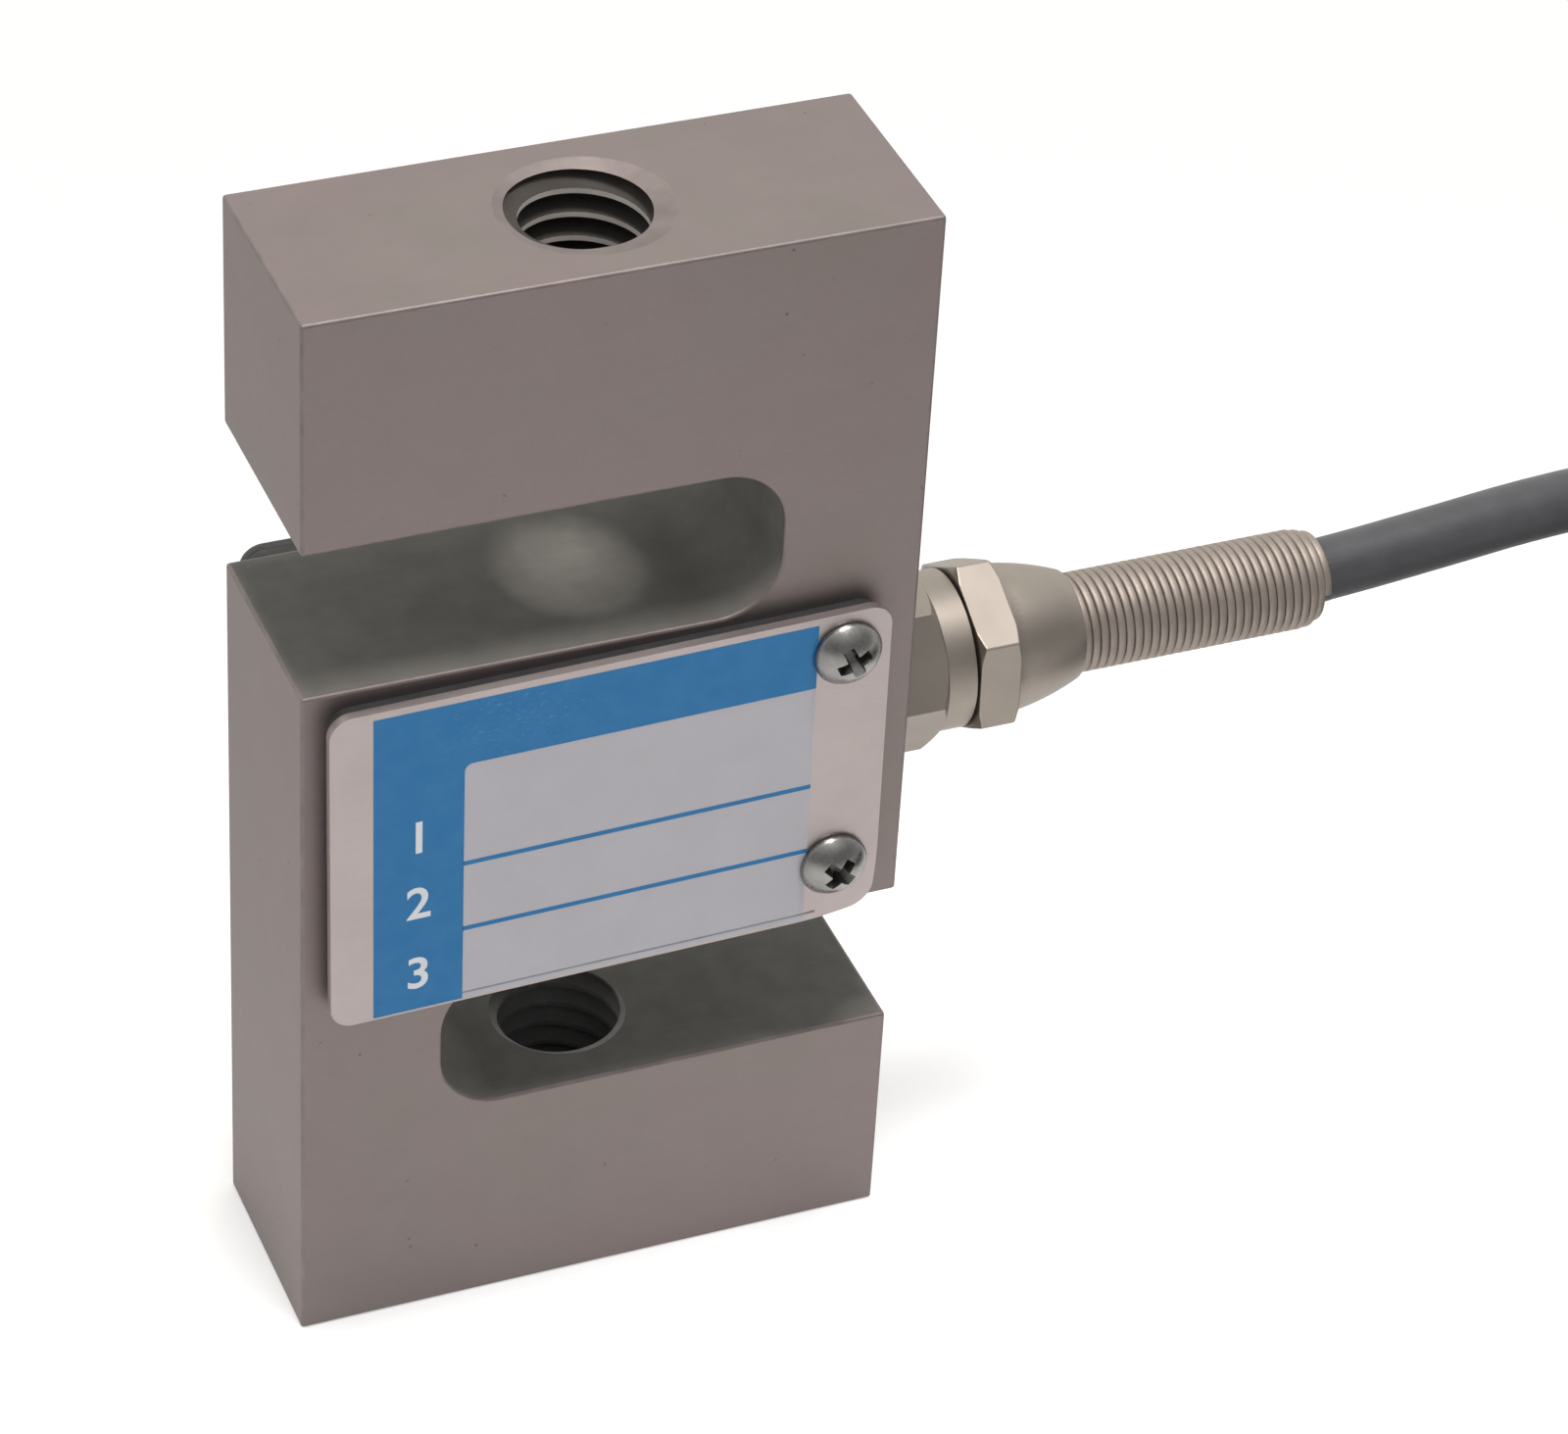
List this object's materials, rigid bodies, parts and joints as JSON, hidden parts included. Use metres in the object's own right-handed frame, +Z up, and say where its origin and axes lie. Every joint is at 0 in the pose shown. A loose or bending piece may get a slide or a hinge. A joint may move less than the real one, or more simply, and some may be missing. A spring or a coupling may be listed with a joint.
{
  "type": "s type load cell",
  "caption": "S-shaped force sensor body with a threaded load hole at each end, bolted covers over the gauge pocket, a side cable gland with spring relief and a coiled cable.",
  "frame": {"origin": "centre of the lower load thread's mouth, on the flat bottom face", "axes": "+Z up the load axis to the upper thread, +X towards the cable gland, -Y out of the front cover"},
  "size_m": [0.2043, 0.1066, 0.098],
  "materials": {
    "nickel_steel": "satin nickel plate",
    "gland_nickel": "turned, nickel plated",
    "spring_steel": "nickel-plated wire",
    "screw_steel": "zinc plated",
    "plate_aluminium": "fine brushed, with printed blue fields",
    "black_plate": "matt black",
    "black_rubber": "matt",
    "ring_brass": "plain",
    "tinned_metal": "tinned",
    "gauge_film": "amber polyimide",
    "board_green": "lacquered",
    "resistor_black": "matt",
    "enamel_copper": "enamelled copper",
    "cable_jacket": "matt, slightly shiny",
    "tie_black": "nylon",
    "sleeve_black": "shrunk tubing",
    "core_red": "insulation",
    "core_black": "insulation",
    "core_green": "insulation",
    "core_white": "insulation"
  },
  "bodies": {
    "root": {"sensing_body": "nickel_steel", "front_gasket": "black_rubber", "front_cover": "plate_aluminium", "front_cover_screws": "screw_steel", "rear_gasket": "black_rubber", "rear_cover": "black_plate", "rear_cover_screws": "screw_steel", "strain_gauges": "gauge_film", "terminal_board": "board_green", "solder_pads": "tinned_metal", "bridge_resistors": "resistor_black", "gauge_wires": "enamel_copper", "lead_red": "core_red", "lead_black": "core_black", "lead_green": "core_green", "lead_white": "core_white", "gland_body": "gland_nickel", "gland_o_ring": "black_rubber", "sealing_bush": "black_rubber", "clamp_ring": "ring_brass", "gland_nut": "gland_nickel", "strain_relief_spring": "spring_steel", "cable_entry": "cable_jacket", "cable": "cable_jacket", "cable_coil": "cable_jacket", "cable_tail": "cable_jacket", "cable_ties": "tie_black", "end_sleeve": "sleeve_black", "core_red": "core_red", "core_black": "core_black", "core_green": "core_green", "core_white": "core_white", "bare_tips": "tinned_metal", "shield_drain": "tinned_metal"}
  },
  "joints": []
}
